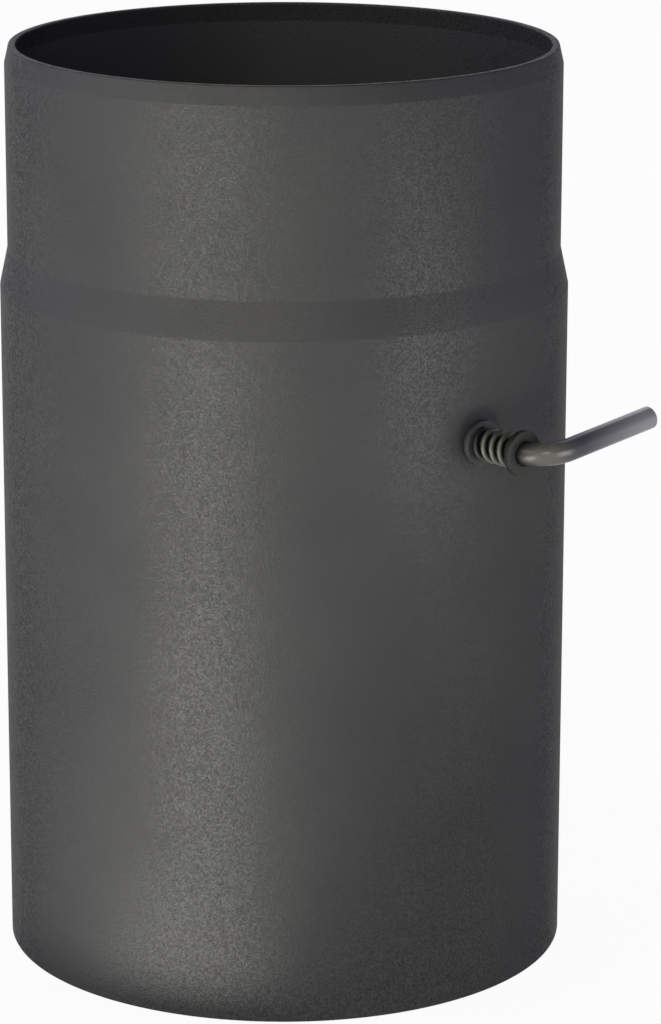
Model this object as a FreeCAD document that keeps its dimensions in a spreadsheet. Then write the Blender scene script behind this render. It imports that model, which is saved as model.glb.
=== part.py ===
# Stove pipe damper: a swaged length of steel flue pipe, with a throttle plate
# on a bent spindle that a compression spring keeps from turning by itself.
# Frame: origin on the pipe's axis at the lower rim, +Z up the pipe to the
# spigot, +X along the spindle towards the handle. Millimetres.
import FreeCAD, Part
import math
import os
import Sketcher

Vector = FreeCAD.Vector
Rotation = FreeCAD.Rotation

doc = FreeCAD.newDocument("stove_pipe_damper")

# Lengths closer than this count as the same, and a cut removes more than this
same_length = 1e-4
least_volume = 1e-6

# Driving dimensions: name, value, what it is
driving_dimensions = [
    ("pipe_radius", 77.0, "outside radius of the pipe body"),
    ("wall", 2.0, "sheet thickness"),
    ("pipe_length", 250.0, "rim to rim"),
    ("spigot_radius", 74.85, "outside radius of the swaged end"),
    ("spigot_length", 50.0, "straight part of the swaged end"),
    ("swage_length", 10.0, "cone between body and spigot"),
    ("swage_rounding", 3.0, "outside rounding where the cone starts and ends"),
    ("lip_length", 5.0, "rolled-in edge at the spigot's mouth"),
    ("lip_radius", 73.7, "outside radius of the spigot's rim"),
    ("socket_depth", 55.0, "sized part of the lower end"),
    ("socket_growth", 0.15, "how far the sizing opens the socket"),
    ("socket_runout", 3.0, "cone from the sized part back to the plain bore"),
    ("rim_bevel", 0.4, "deburred edges of both rims"),
    ("spindle_height", 154.0, "spindle axis above the lower rim"),
    ("spindle_radius", 3.0, "rod of the spindle and handle"),
    ("hole_clearance", 0.3, "between the spindle and its holes in the wall"),
    ("rest_tilt", 7.2, "angle of handle and plate above level"),
    ("bend_radius", 9.0, "centre line of the handle's bend"),
    ("handle_length", 39.0, "spindle axis to the handle's end face"),
    ("end_bevel", 0.6, "edge of the rod's two ends"),
    ("tail_length", 3.6, "rod beyond the split pin"),
    ("washer_radius", 6.0, "flat washers on the spindle"),
    ("washer_bore", 3.2, "radius of the washers' hole"),
    ("washer_thickness", 1.6, "flat washers on the spindle"),
    ("washer_bevel", 0.2, "outer edge of the washers"),
    ("running_gap", 0.1, "between faces that turn on each other"),
    ("seat_gap", 0.05, "between the outer washer's hole and the handle's bend"),
    ("spring_length", 13.3, "spring between its washers, as fitted"),
    ("spring_pitch", 3.0, "turn to turn"),
    ("spring_radius", 4.0, "centre line of the spring's wire"),
    ("spring_wire", 0.7, "radius of the spring's wire"),
    ("plate_clearance", 2.0, "round the plate's edge, inside the pipe"),
    ("plate_thickness", 2.0, "throttle plate"),
    ("plate_chord", 58.0, "spindle axis to the plate's cut-off edges"),
    ("plate_bevel", 0.3, "edge of the plate"),
    ("flat_depth", 1.0, "milled off the rod under the plate and under the nuts"),
    ("flat_margin", 1.0, "from the long flat's end to the pipe's wall"),
    ("nut_flat_length", 9.0, "short flats under the nuts"),
    ("screw_spacing", 80.0, "between the plate's two screws"),
    ("screw_radius", 1.5, "shank of the plate's screws"),
    ("screw_length", 10.0, "under the head"),
    ("screw_clearance", 0.1, "round a screw in the plate and the rod"),
    ("thread_gap", 0.05, "between a screw and its nut"),
    ("hex_width", 5.5, "across the flats of screw heads and nuts"),
    ("head_height", 2.0, "screw heads"),
    ("nut_height", 2.4, "nuts"),
    ("hex_bevel", 30.0, "angle of the bevel on screw heads and nuts"),
    ("pin_radius", 0.7, "split pin, both legs together"),
    ("pin_clearance", 0.1, "round the split pin in its hole"),
    ("leg_gap", 0.05, "from the pin's middle plane to a leg"),
    ("eye_radius", 0.8, "inside of the split pin's eye"),
    ("neck_radius", 1.1, "bend between the pin's leg and its eye"),
    ("splay_radius", 1.6, "bend where a leg is turned outwards"),
    ("splay_angle", 40.0, "how far the legs are turned outwards"),
    ("splay_length", 3.0, "straight end of a turned-out leg"),
    ("pin_stand_off", 0.3, "from the rod to where the pin's bends start"),
]

sheet = doc.addObject("Spreadsheet::Sheet", "sizes")
for row, (name, value, meaning) in enumerate(driving_dimensions, start=1):
    sheet.set(f"A{row}", name)
    sheet.set(f"B{row}", str(value))
    sheet.set(f"C{row}", meaning)
    sheet.setAlias(f"B{row}", name)
doc.recompute()

# Sizes that follow from the driving ones, as expressions
pipe_bore = "(sizes.pipe_radius - sizes.wall)"
spigot_bore = "(sizes.spigot_radius - sizes.wall)"
lip_bore = "(sizes.lip_radius - sizes.wall)"
socket_bore = f"({pipe_bore} + sizes.socket_growth)"
lip_start = "(sizes.pipe_length - sizes.lip_length)"
spigot_start = f"({lip_start} - sizes.spigot_length)"
swage_start = f"({spigot_start} - sizes.swage_length)"
hole_radius = "(sizes.spindle_radius + sizes.hole_clearance)"
outer_seat = "(sizes.pipe_radius + sizes.washer_thickness)"
spring_start = f"({outer_seat} + sizes.running_gap)"
spring_end = f"({spring_start} + sizes.spring_length)"
handle_washer_face = f"({spring_end} + sizes.washer_thickness)"
# The outer washer's hole meets the inside of the bend this far past its start
bend_run = (
    "(sqrt((sizes.bend_radius - sizes.spindle_radius)^2"
    " - (sizes.bend_radius - sizes.washer_bore)^2) - sizes.seat_gap)"
)
bend_start = f"({handle_washer_face} - {bend_run})"
bend_corner = f"({bend_start} + sizes.bend_radius)"
pin_place = f"(-{outer_seat} - sizes.running_gap - sizes.pin_radius)"
rod_tail = f"({pin_place} - sizes.tail_length)"
plate_radius = f"({pipe_bore} - sizes.plate_clearance)"
plate_seat = "(sizes.spindle_radius - sizes.flat_depth)"
plate_top = f"({plate_seat} + sizes.plate_thickness)"
flat_end = f"({pipe_bore} - sizes.flat_margin)"
screw_hole = "(sizes.screw_radius + sizes.screw_clearance)"


def named(kind, label):
    item = doc.addObject(kind, label)
    item.Label = label
    return item


def origin_part(body, role):
    return next(part for part in body.Origin.OriginFeatures if part.Role == role)


def new_sketch(body, name, plane):
    sketch = body.newObject("Sketcher::SketchObject", name)
    sketch.AttachmentSupport = [(origin_part(body, plane), "")]
    sketch.MapMode = "FlatFace"
    return sketch


def size_of(item, expression):
    value = item.evalExpression(expression)
    return float(getattr(value, "Value", value))


def bind(sketch, constraint, expression):
    index = sketch.addConstraint(constraint)
    sketch.setExpression(f"Constraints[{index}]", expression)
    return index


def fix_point(sketch, geometry, end, across, along):
    """Hold one point of a sketch at two distances from the sketch's origin."""
    for kind, expression in (("DistanceX", across), ("DistanceY", along)):
        value = size_of(sketch, expression)
        bind(sketch, Sketcher.Constraint(kind, -1, 1, geometry, end, value), expression)


def draw_polygon(sketch, corners):
    """Closed outline through corners, each held by a pair of expressions."""
    points = [
        Vector(size_of(sketch, across), size_of(sketch, along), 0)
        for across, along in corners
    ]
    first = sketch.GeometryCount
    count = len(points)
    for number in range(count):
        segment = Part.LineSegment(points[number], points[(number + 1) % count])
        sketch.addGeometry(segment, False)
    for number in range(count):
        following = first + (number + 1) % count
        sketch.addConstraint(Sketcher.Constraint("Coincident", first + number, 2, following, 1))
    for number, (across, along) in enumerate(corners):
        fix_point(sketch, first + number, 1, across, along)


def draw_rectangle(sketch, left, right, low, high):
    draw_polygon(sketch, [(left, low), (right, low), (right, high), (left, high)])


def draw_circle(sketch, across, along, radius):
    centre = Vector(size_of(sketch, across), size_of(sketch, along), 0)
    circle = Part.Circle(centre, Vector(0, 0, 1), size_of(sketch, radius))
    index = sketch.addGeometry(circle, False)
    fix_point(sketch, index, 3, across, along)
    bind(sketch, Sketcher.Constraint("Radius", index, size_of(sketch, radius)), radius)


def add_feature(body, kind, name, profile, **values):
    feature = body.newObject(kind, name)
    feature.Profile = profile
    for key, value in values.items():
        if isinstance(value, str) and ("sizes." in value or value.startswith("(")):
            feature.setExpression(key, value)
        else:
            setattr(feature, key, value)
    doc.recompute()
    return feature


def expect_less(feature, before):
    """Stop if a cut has left the solid as it was."""
    if feature.Shape.Volume > before - least_volume:
        raise RuntimeError(f"{feature.Label} cut nothing")


def cut(body, kind, name, profile, **values):
    before = body.Shape.Volume
    feature = add_feature(body, kind, name, profile, **values)
    expect_less(feature, before)
    return feature


def revolve(body, name, profile, axis):
    return add_feature(
        body, "PartDesign::Revolution", name, profile,
        ReferenceAxis=(origin_part(body, axis), [""]), Angle=360.0,
    )


def groove(body, name, profile, axis):
    return cut(
        body, "PartDesign::Groove", name, profile,
        ReferenceAxis=(origin_part(body, axis), [""]), Angle=360.0,
    )


def dress(body, kind, name, wanted, size_name, expression):
    """Fillet or chamfer the edges of the body's tip that the test picks."""
    doc.recompute()
    base = body.Tip
    edges = [
        f"Edge{number}"
        for number, edge in enumerate(base.Shape.Edges, start=1)
        if wanted(edge)
    ]
    feature = body.newObject(kind, name)
    feature.Base = (base, edges)
    feature.setExpression(size_name, expression)
    doc.recompute()
    return feature


def is_ring(edge, radius, axis, place):
    """A full circle about an axis, with the given radius and place along it."""
    curve = edge.Curve
    if not isinstance(curve, Part.Circle):
        return False
    off_place = abs(getattr(curve.Center, axis) - place)
    return abs(curve.Radius - radius) < same_length and off_place < same_length


def ring_test(item, axis, rings):
    measured = [(size_of(item, radius), size_of(item, place)) for radius, place in rings]

    def wanted(edge):
        return any(is_ring(edge, radius, axis, place) for radius, place in measured)

    return wanted


def make_flue_pipe():
    body = named("PartDesign::Body", "flue_pipe")
    profile = new_sketch(body, "pipe_profile", "XZ_Plane")
    # The cone's inside is shifted so that the sheet keeps its thickness there
    slope = "(sizes.pipe_radius - sizes.spigot_radius) / sizes.swage_length"
    shift = f"(sizes.wall * tan(atan({slope}) / 2))"
    lip_slope = "(sizes.spigot_radius - sizes.lip_radius) / sizes.lip_length"
    lip_shift = f"(sizes.wall * tan(atan({lip_slope}) / 2))"
    draw_polygon(profile, [
        ("sizes.pipe_radius", "0"),
        ("sizes.pipe_radius", swage_start),
        ("sizes.spigot_radius", spigot_start),
        ("sizes.spigot_radius", lip_start),
        ("sizes.lip_radius", "sizes.pipe_length"),
        (lip_bore, "sizes.pipe_length"),
        (spigot_bore, f"{lip_start} - {lip_shift}"),
        (spigot_bore, f"{spigot_start} - {shift}"),
        (pipe_bore, f"{swage_start} - {shift}"),
        (pipe_bore, "sizes.socket_depth + sizes.socket_runout"),
        (socket_bore, "sizes.socket_depth"),
        (socket_bore, "0"),
    ])
    revolve(body, "pipe_wall", profile, "Z_Axis")
    dress(
        body, "PartDesign::Fillet", "swage_edges",
        ring_test(body, "z", [
            ("sizes.pipe_radius", swage_start),
            ("sizes.spigot_radius", spigot_start),
        ]),
        "Radius", "sizes.swage_rounding",
    )
    dress(
        body, "PartDesign::Chamfer", "rim_edges",
        ring_test(body, "z", [
            ("sizes.pipe_radius", "0"),
            (socket_bore, "0"),
            ("sizes.lip_radius", "sizes.pipe_length"),
            (lip_bore, "sizes.pipe_length"),
        ]),
        "Size", "sizes.rim_bevel",
    )
    hole = new_sketch(body, "spindle_hole", "YZ_Plane")
    draw_circle(hole, "0", "sizes.spindle_height", hole_radius)
    cut(
        body, "PartDesign::Pocket", "spindle_holes", hole,
        Midplane=True, Type="ThroughAll",
    )
    return body


def make_washer(label, inner_face):
    """Flat washer on the spindle, from its face nearer the pipe outwards."""
    body = named("PartDesign::Body", label)
    profile = new_sketch(body, label + "_profile", "XY_Plane")
    outer_face = f"({inner_face} + sizes.washer_thickness)"
    draw_rectangle(
        profile, inner_face, outer_face, "sizes.washer_bore", "sizes.washer_radius"
    )
    revolve(body, label + "_ring", profile, "X_Axis")
    dress(
        body, "PartDesign::Chamfer", label + "_edges",
        ring_test(body, "x", [
            ("sizes.washer_radius", inner_face),
            ("sizes.washer_radius", outer_face),
        ]),
        "Size", "sizes.washer_bevel",
    )
    return body


def make_rod():
    body = named("PartDesign::Body", "damper_rod")
    section = new_sketch(body, "rod_section", "YZ_Plane")
    section.setExpression("AttachmentOffset.Base.z", rod_tail)
    draw_circle(section, "0", "0", "sizes.spindle_radius")

    path = new_sketch(body, "rod_path", "XY_Plane")
    start = Vector(size_of(path, rod_tail), 0, 0)
    turn = Vector(size_of(path, bend_start), 0, 0)
    radius = size_of(path, "sizes.bend_radius")
    centre = turn + Vector(0, radius, 0)
    corner_end = centre + Vector(radius, 0, 0)
    tip = Vector(corner_end.x, size_of(path, "sizes.handle_length"), 0)
    bend = Part.ArcOfCircle(
        Part.Circle(centre, Vector(0, 0, 1), radius), 1.5 * math.pi, 2 * math.pi
    )
    path.addGeometry(
        [Part.LineSegment(start, turn), bend, Part.LineSegment(corner_end, tip)], False
    )
    path.addConstraint([
        Sketcher.Constraint("PointOnObject", 0, 1, -1),
        Sketcher.Constraint("Horizontal", 0),
        Sketcher.Constraint("Vertical", 2),
        Sketcher.Constraint("Tangent", 0, 2, 1, 1),
        Sketcher.Constraint("Tangent", 1, 2, 2, 1),
    ])
    bind(path, Sketcher.Constraint("DistanceX", -1, 1, 0, 1, start.x), rod_tail)
    bind(path, Sketcher.Constraint("DistanceX", -1, 1, 0, 2, turn.x), bend_start)
    bind(path, Sketcher.Constraint("Radius", 1, radius), "sizes.bend_radius")
    bind(path, Sketcher.Constraint("DistanceY", -1, 1, 2, 2, tip.y), "sizes.handle_length")
    doc.recompute()
    rod = body.newObject("PartDesign::AdditivePipe", "rod_sweep")
    rod.Profile = section
    rod.Spine = (path, [])
    doc.recompute()

    ends = ring_test(body, "x", [("sizes.spindle_radius", rod_tail)])
    handle_end = ring_test(body, "y", [("sizes.spindle_radius", "sizes.handle_length")])
    dress(
        body, "PartDesign::Chamfer", "rod_ends",
        lambda edge: ends(edge) or handle_end(edge),
        "Size", "sizes.end_bevel",
    )

    # One long flat carries the plate, two short ones under it carry the nuts
    reach = "(2 * sizes.spindle_radius)"
    flats = new_sketch(body, "flat_outline", "XZ_Plane")
    draw_rectangle(flats, f"-{flat_end}", flat_end, plate_seat, reach)
    half_flat = "sizes.nut_flat_length / 2"
    for side in ("-", ""):
        middle = f"{side}sizes.screw_spacing / 2"
        draw_rectangle(
            flats, f"{middle} - {half_flat}", f"{middle} + {half_flat}",
            f"-{reach}", f"-{plate_seat}",
        )
    cut(body, "PartDesign::Pocket", "rod_flats", flats, Midplane=True, Type="ThroughAll")

    holes = new_sketch(body, "rod_hole_places", "XY_Plane")
    for side in ("-", ""):
        draw_circle(holes, f"{side}sizes.screw_spacing / 2", "0", screw_hole)
    draw_circle(holes, pin_place, "0", "sizes.pin_radius + sizes.pin_clearance")
    cut(body, "PartDesign::Pocket", "rod_holes", holes, Midplane=True, Type="ThroughAll")
    return body


def make_plate():
    """Round plate, cut straight along two sides so that the flue never closes."""
    body = named("PartDesign::Body", "damper_plate")
    outline = new_sketch(body, "plate_outline", "XY_Plane")
    radius = size_of(outline, plate_radius)
    chord = size_of(outline, "sizes.plate_chord")
    half_width = (radius ** 2 - chord ** 2) ** 0.5
    circle = Part.Circle(Vector(0, 0, 0), Vector(0, 0, 1), radius)
    right_low = circle.parameter(Vector(half_width, -chord, 0))
    right_high = circle.parameter(Vector(half_width, chord, 0))
    left_high = circle.parameter(Vector(-half_width, chord, 0))
    left_low = circle.parameter(Vector(-half_width, -chord, 0))
    full_turn = circle.LastParameter - circle.FirstParameter
    outline.addGeometry([
        Part.ArcOfCircle(circle, right_low, right_high + full_turn),
        Part.LineSegment(Vector(half_width, chord, 0), Vector(-half_width, chord, 0)),
        Part.ArcOfCircle(circle, left_high, left_low),
        Part.LineSegment(Vector(-half_width, -chord, 0), Vector(half_width, -chord, 0)),
    ], False)
    outline.addConstraint([
        Sketcher.Constraint("Coincident", 0, 2, 1, 1),
        Sketcher.Constraint("Coincident", 1, 2, 2, 1),
        Sketcher.Constraint("Coincident", 2, 2, 3, 1),
        Sketcher.Constraint("Coincident", 3, 2, 0, 1),
        Sketcher.Constraint("Coincident", 0, 3, -1, 1),
        Sketcher.Constraint("Coincident", 2, 3, -1, 1),
        Sketcher.Constraint("Horizontal", 1),
        Sketcher.Constraint("Horizontal", 3),
        Sketcher.Constraint("Equal", 0, 2),
    ])
    bind(outline, Sketcher.Constraint("Radius", 0, radius), plate_radius)
    bind(outline, Sketcher.Constraint("DistanceY", -1, 1, 1, 1, chord), "sizes.plate_chord")
    bind(outline, Sketcher.Constraint("DistanceY", 3, 1, -1, 1, chord), "sizes.plate_chord")
    for side in ("-", ""):
        draw_circle(outline, f"{side}sizes.screw_spacing / 2", "0", screw_hole)
    outline.setExpression("AttachmentOffset.Base.z", plate_seat)
    add_feature(
        body, "PartDesign::Pad", "plate_blank", outline, Length="sizes.plate_thickness"
    )

    def is_rim(edge):
        """An edge of the outline on either face, and none of a screw hole."""
        if edge.isClosed():
            return False
        first, last = edge.Vertexes
        return abs(first.Z - last.Z) < same_length

    dress(body, "PartDesign::Chamfer", "plate_edges", is_rim, "Size", "sizes.plate_bevel")
    return body


def make_spring():
    """Compression spring of even pitch, ground flat at both ends."""
    body = named("PartDesign::Body", "compression_spring")
    section = new_sketch(body, "wire_section", "XZ_Plane")
    draw_circle(section, spring_start, "sizes.spring_radius", "sizes.spring_wire")
    coil = body.newObject("PartDesign::AdditiveHelix", "spring_coil")
    coil.Profile = section
    coil.ReferenceAxis = (origin_part(body, "X_Axis"), [""])
    coil.Mode = "pitch-height-angle"
    coil.setExpression("Pitch", "sizes.spring_pitch")
    coil.setExpression("Height", "sizes.spring_length")
    doc.recompute()
    ends = new_sketch(body, "ground_ends", "XY_Plane")
    beyond = "(2 * sizes.spring_wire)"
    outside = "(sizes.spring_radius + 2 * sizes.spring_wire)"
    draw_rectangle(ends, f"{spring_start} - {beyond}", spring_start, "0", outside)
    draw_rectangle(ends, spring_end, f"{spring_end} + {beyond}", "0", outside)
    groove(body, "spring_ends", ends, "X_Axis")
    return body


def draw_hexagon(sketch):
    corner = "(sizes.hex_width / sqrt(3))"
    half = "(sizes.hex_width / 2)"
    draw_polygon(sketch, [
        (corner, "0"),
        (f"{corner} / 2", half),
        (f"-{corner} / 2", half),
        (f"-{corner}", "0"),
        (f"-{corner} / 2", f"-{half}"),
        (f"{corner} / 2", f"-{half}"),
    ])


def bevel_hexagon(body, name, face, direction):
    """Turn the six corners off at one face; direction is + or - along Z."""
    profile = new_sketch(body, name, "XZ_Plane")
    half = "(sizes.hex_width / 2)"
    beyond = "sizes.hex_width"
    drop = f"(({beyond} - {half}) * tan(sizes.hex_bevel * 1 deg))"
    draw_polygon(profile, [
        (half, face),
        (beyond, face),
        (beyond, f"{face} {direction} {drop}"),
    ])
    groove(body, name + "_cut", profile, "Z_Axis")


def make_screw(label):
    body = named("PartDesign::Body", label)
    outline = new_sketch(body, label + "_hexagon", "XY_Plane")
    outline.setExpression("AttachmentOffset.Base.z", plate_top)
    draw_hexagon(outline)
    add_feature(body, "PartDesign::Pad", label + "_head", outline, Length="sizes.head_height")
    head_top = f"({plate_top} + sizes.head_height)"
    bevel_hexagon(body, label + "_bevel", head_top, "-")
    shank = new_sketch(body, label + "_round", "XY_Plane")
    shank.setExpression("AttachmentOffset.Base.z", plate_top)
    draw_circle(shank, "0", "0", "sizes.screw_radius")
    add_feature(
        body, "PartDesign::Pad", label + "_shank", shank,
        Length="sizes.screw_length", Reversed=True,
    )
    return body


def make_nut(label):
    body = named("PartDesign::Body", label)
    nut_top = f"(-{plate_seat})"
    outline = new_sketch(body, label + "_hexagon", "XY_Plane")
    outline.setExpression("AttachmentOffset.Base.z", nut_top)
    draw_hexagon(outline)
    draw_circle(outline, "0", "0", "sizes.screw_radius + sizes.thread_gap")
    add_feature(
        body, "PartDesign::Pad", label + "_blank", outline,
        Length="sizes.nut_height", Reversed=True,
    )
    nut_bottom = f"({nut_top} - sizes.nut_height)"
    bevel_hexagon(body, label + "_bevel", nut_bottom, "+")
    return body


def make_split_pin():
    """Split pin of half-round wire: its eye above the rod, its legs turned out."""
    body = named("PartDesign::Body", "split_pin")
    bend_height = "(sizes.spindle_radius + sizes.pin_stand_off)"
    eye_height = (
        f"({bend_height} + sqrt((sizes.neck_radius + sizes.eye_radius)^2"
        " - (sizes.neck_radius + sizes.leg_gap)^2))"
    )
    eye_top_height = f"({eye_height} + sizes.eye_radius)"

    path = new_sketch(body, "pin_path", "YZ_Plane")
    path.setExpression("AttachmentOffset.Base.z", pin_place)
    gap = size_of(path, "sizes.leg_gap")
    neck = size_of(path, "sizes.neck_radius")
    eye = size_of(path, "sizes.eye_radius")
    splay = size_of(path, "sizes.splay_radius")
    height = size_of(path, bend_height)
    tip_length = size_of(path, "sizes.splay_length")
    turned = Rotation(Vector(0, 0, 1), size_of(path, "sizes.splay_angle"))
    eye_centre = Vector(0, size_of(path, eye_height), 0)
    eye_top = Vector(0, size_of(path, eye_top_height), 0)
    neck_centre = Vector(gap + neck, height, 0)
    touch = eye_centre + (neck_centre - eye_centre).normalize() * eye
    leg_high = Vector(gap, height, 0)
    leg_low = Vector(gap, -height, 0)
    splay_centre = Vector(gap + splay, -height, 0)
    splay_end = splay_centre + turned.multVec(Vector(-splay, 0, 0))
    tip = splay_end + turned.multVec(Vector(0, -tip_length, 0))

    def bow(centre, radius, first, last):
        """Arc that runs anticlockwise from first to last."""
        circle = Part.Circle(centre, Vector(0, 0, 1), radius)
        start = circle.parameter(first)
        end = circle.parameter(last)
        if end < start:
            end += 2 * math.pi
        return Part.ArcOfCircle(circle, start, end)

    path.addGeometry([
        bow(eye_centre, eye, touch, eye_top),
        bow(neck_centre, neck, touch, leg_high),
        Part.LineSegment(leg_high, leg_low),
        bow(splay_centre, splay, leg_low, splay_end),
        Part.LineSegment(tip, splay_end),
    ], False)
    path.addConstraint([
        Sketcher.Constraint("PointOnObject", 0, 3, -2),
        Sketcher.Constraint("PointOnObject", 0, 2, -2),
        Sketcher.Constraint("Tangent", 0, 1, 1, 1),
        Sketcher.Constraint("Tangent", 1, 2, 2, 1),
        Sketcher.Constraint("Vertical", 2),
        Sketcher.Constraint("Tangent", 2, 2, 3, 1),
        Sketcher.Constraint("Tangent", 3, 2, 4, 2),
    ])
    bind(path, Sketcher.Constraint("Radius", 0, eye), "sizes.eye_radius")
    bind(path, Sketcher.Constraint("Radius", 1, neck), "sizes.neck_radius")
    bind(path, Sketcher.Constraint("Radius", 3, splay), "sizes.splay_radius")
    bind(path, Sketcher.Constraint("DistanceX", -1, 1, 2, 1, gap), "sizes.leg_gap")
    bind(path, Sketcher.Constraint("DistanceY", -1, 1, 2, 1, height), bend_height)
    bind(path, Sketcher.Constraint("DistanceY", 2, 2, -1, 1, height), bend_height)
    bind(path, Sketcher.Constraint("Distance", 4, tip_length), "sizes.splay_length")
    lean = math.radians(size_of(path, "90 + sizes.splay_angle"))
    bind(path, Sketcher.Constraint("Angle", 4, lean), "90 deg + sizes.splay_angle * 1 deg")

    section = new_sketch(body, "half_round", "XZ_Plane")
    across = size_of(section, pin_place)
    along = size_of(section, eye_top_height)
    radius = size_of(section, "sizes.pin_radius")
    middle = Vector(across, along, 0)
    left = middle - Vector(radius, 0, 0)
    right = middle + Vector(radius, 0, 0)
    section.addGeometry(
        [bow(middle, radius, right, left), Part.LineSegment(left, right)], False
    )
    section.addConstraint([
        Sketcher.Constraint("Coincident", 0, 2, 1, 1),
        Sketcher.Constraint("Coincident", 1, 2, 0, 1),
        Sketcher.Constraint("PointOnObject", 0, 3, 1),
        Sketcher.Constraint("Horizontal", 1),
    ])
    fix_point(section, 0, 3, pin_place, eye_top_height)
    bind(section, Sketcher.Constraint("Radius", 0, radius), "sizes.pin_radius")
    doc.recompute()

    half = body.newObject("PartDesign::AdditivePipe", "pin_half")
    half.Profile = section
    half.Spine = (path, [])
    doc.recompute()
    whole = body.newObject("PartDesign::Mirrored", "pin_whole")
    whole.Originals = [half]
    whole.MirrorPlane = (origin_part(body, "XZ_Plane"), [""])
    body.Tip = whole
    doc.recompute()
    return body


def place_on_spindle(body, along="0"):
    """Put a piece of the damper on the spindle's axis, at the handle's tilt."""
    body.Placement = FreeCAD.Placement(Vector(0, 0, 0), Rotation(Vector(1, 0, 0), 1))
    body.setExpression("Placement.Base.x", along)
    body.setExpression("Placement.Base.z", "sizes.spindle_height")
    body.setExpression("Placement.Rotation.Angle", "sizes.rest_tilt * 1 deg")
    return body


def lift_to_spindle(body):
    """Put a washer that stays with the pipe at the spindle's height."""
    body.setExpression("Placement.Base.z", "sizes.spindle_height")
    return body


sub_parts = [
    make_flue_pipe(),
    lift_to_spindle(make_washer("wall_washer", "sizes.pipe_radius")),
    lift_to_spindle(make_washer("far_washer", f"(-{outer_seat})")),
    place_on_spindle(make_rod()),
    place_on_spindle(make_plate()),
    place_on_spindle(make_spring()),
    place_on_spindle(make_washer("handle_washer", spring_end)),
    place_on_spindle(make_split_pin()),
]
for side, sign in (("near", ""), ("far", "-")):
    screw_place = f"{sign}sizes.screw_spacing / 2"
    sub_parts.append(place_on_spindle(make_screw(f"{side}_plate_screw"), screw_place))
    sub_parts.append(place_on_spindle(make_nut(f"{side}_plate_nut"), screw_place))

doc.recompute()

for item in doc.Objects:
    if "Invalid" in item.State or "Error" in item.State:
        raise RuntimeError(f"{item.Label} did not build: {item.State}")
for part in sub_parts:
    shape = part.Shape
    if shape.isNull() or not shape.isValid() or len(shape.Solids) != 1:
        raise RuntimeError(f"{part.Label} is not one sound solid")

os.makedirs("parts", exist_ok=True)
for part in sub_parts:
    part.Shape.exportStep(f"parts/{part.Label}.step")
    box = part.Shape.optimalBoundingBox(False)
    print(
        f"{part.Label}: {part.Shape.Volume:.1f} mm3,"
        f" x {box.XMin:.2f} to {box.XMax:.2f},"
        f" y {box.YMin:.2f} to {box.YMax:.2f},"
        f" z {box.ZMin:.2f} to {box.ZMax:.2f}"
    )
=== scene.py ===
import math

import bmesh
import bpy
from mathutils import Matrix, Vector


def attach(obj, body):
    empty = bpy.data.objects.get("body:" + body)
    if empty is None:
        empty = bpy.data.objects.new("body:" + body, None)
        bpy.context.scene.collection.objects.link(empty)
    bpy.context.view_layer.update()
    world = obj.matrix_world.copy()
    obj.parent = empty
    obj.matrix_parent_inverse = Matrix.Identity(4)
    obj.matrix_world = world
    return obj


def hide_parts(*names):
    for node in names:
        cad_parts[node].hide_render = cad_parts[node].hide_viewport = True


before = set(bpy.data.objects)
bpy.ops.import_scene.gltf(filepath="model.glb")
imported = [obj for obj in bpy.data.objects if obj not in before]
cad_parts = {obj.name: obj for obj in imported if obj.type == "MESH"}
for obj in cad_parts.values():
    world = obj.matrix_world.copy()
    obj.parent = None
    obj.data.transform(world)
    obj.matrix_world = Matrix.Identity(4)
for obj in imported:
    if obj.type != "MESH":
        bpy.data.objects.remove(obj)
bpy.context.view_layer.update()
print("frame loaded:", len(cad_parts), "nodes")

axisHeight = 0.154  # the spindle's axis above the socket's rim
restTilt = math.radians(7.2)  # handle and plate stand this far above level
damperPlace = Matrix.Translation((0, 0, axisHeight)) @ Matrix.Rotation(restTilt, 4, "X")


# sRGB hex to the linear values that Blender's sockets take
def colour(hexCode):
    parts = [int(hexCode[place:place + 2], 16) / 255 for place in (1, 3, 5)]
    linear = [p / 12.92 if p <= 0.04045 else ((p + 0.055) / 1.055) ** 2.4 for p in parts]
    return (*linear, 1.0)


# Adds a node with its settings; an input takes a value, the socket that feeds it,
# or a list of sockets where it takes several
def addNode(tree, kind, settings=None, inputs=None):
    node = tree.nodes.new(kind)
    for name, value in (settings or {}).items():
        setattr(node, name, value)
    for socket, value in (inputs or {}).items():
        if isinstance(value, (bpy.types.NodeSocket, list)):
            for source in value if isinstance(value, list) else [value]:
                tree.links.new(source, node.inputs[socket])
        else:
            node.inputs[socket].default_value = value
    return node


# Starts a geometry tree with named inputs: name -> (socket type, default value)
def startTree(name, inputs):
    tree = bpy.data.node_groups.new(name, "GeometryNodeTree")
    tree.interface.new_socket("Geometry", in_out="INPUT", socket_type="NodeSocketGeometry")
    for label, kind in inputs.items():
        tree.interface.new_socket(label, in_out="INPUT", socket_type=kind)
    tree.interface.new_socket("Geometry", in_out="OUTPUT", socket_type="NodeSocketGeometry")
    return tree, addNode(tree, "NodeGroupInput").outputs


# Ends a tree: instances made real, material set
def endTree(tree, geometry, material):
    real = addNode(tree, "GeometryNodeRealizeInstances", None, {"Geometry": geometry})
    painted = addNode(
        tree, "GeometryNodeSetMaterial", None,
        {"Geometry": real.outputs["Geometry"], "Material": material},
    )
    addNode(tree, "NodeGroupOutput", None, {"Geometry": painted.outputs["Geometry"]})


# Edges that bend by more than this many degrees stay crisp
sharpAngles = {
    "pipe": 30, "washers": 40, "spring": 50, "rod": 30, "fasteners": 25, "plate": 30, "pin": 35,
}
mergeDistance = 1e-6


def shadeByAngle(mesh, degrees):
    mesh.shade_smooth()
    mesh.set_sharp_from_angle(angle=math.radians(degrees))


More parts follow.
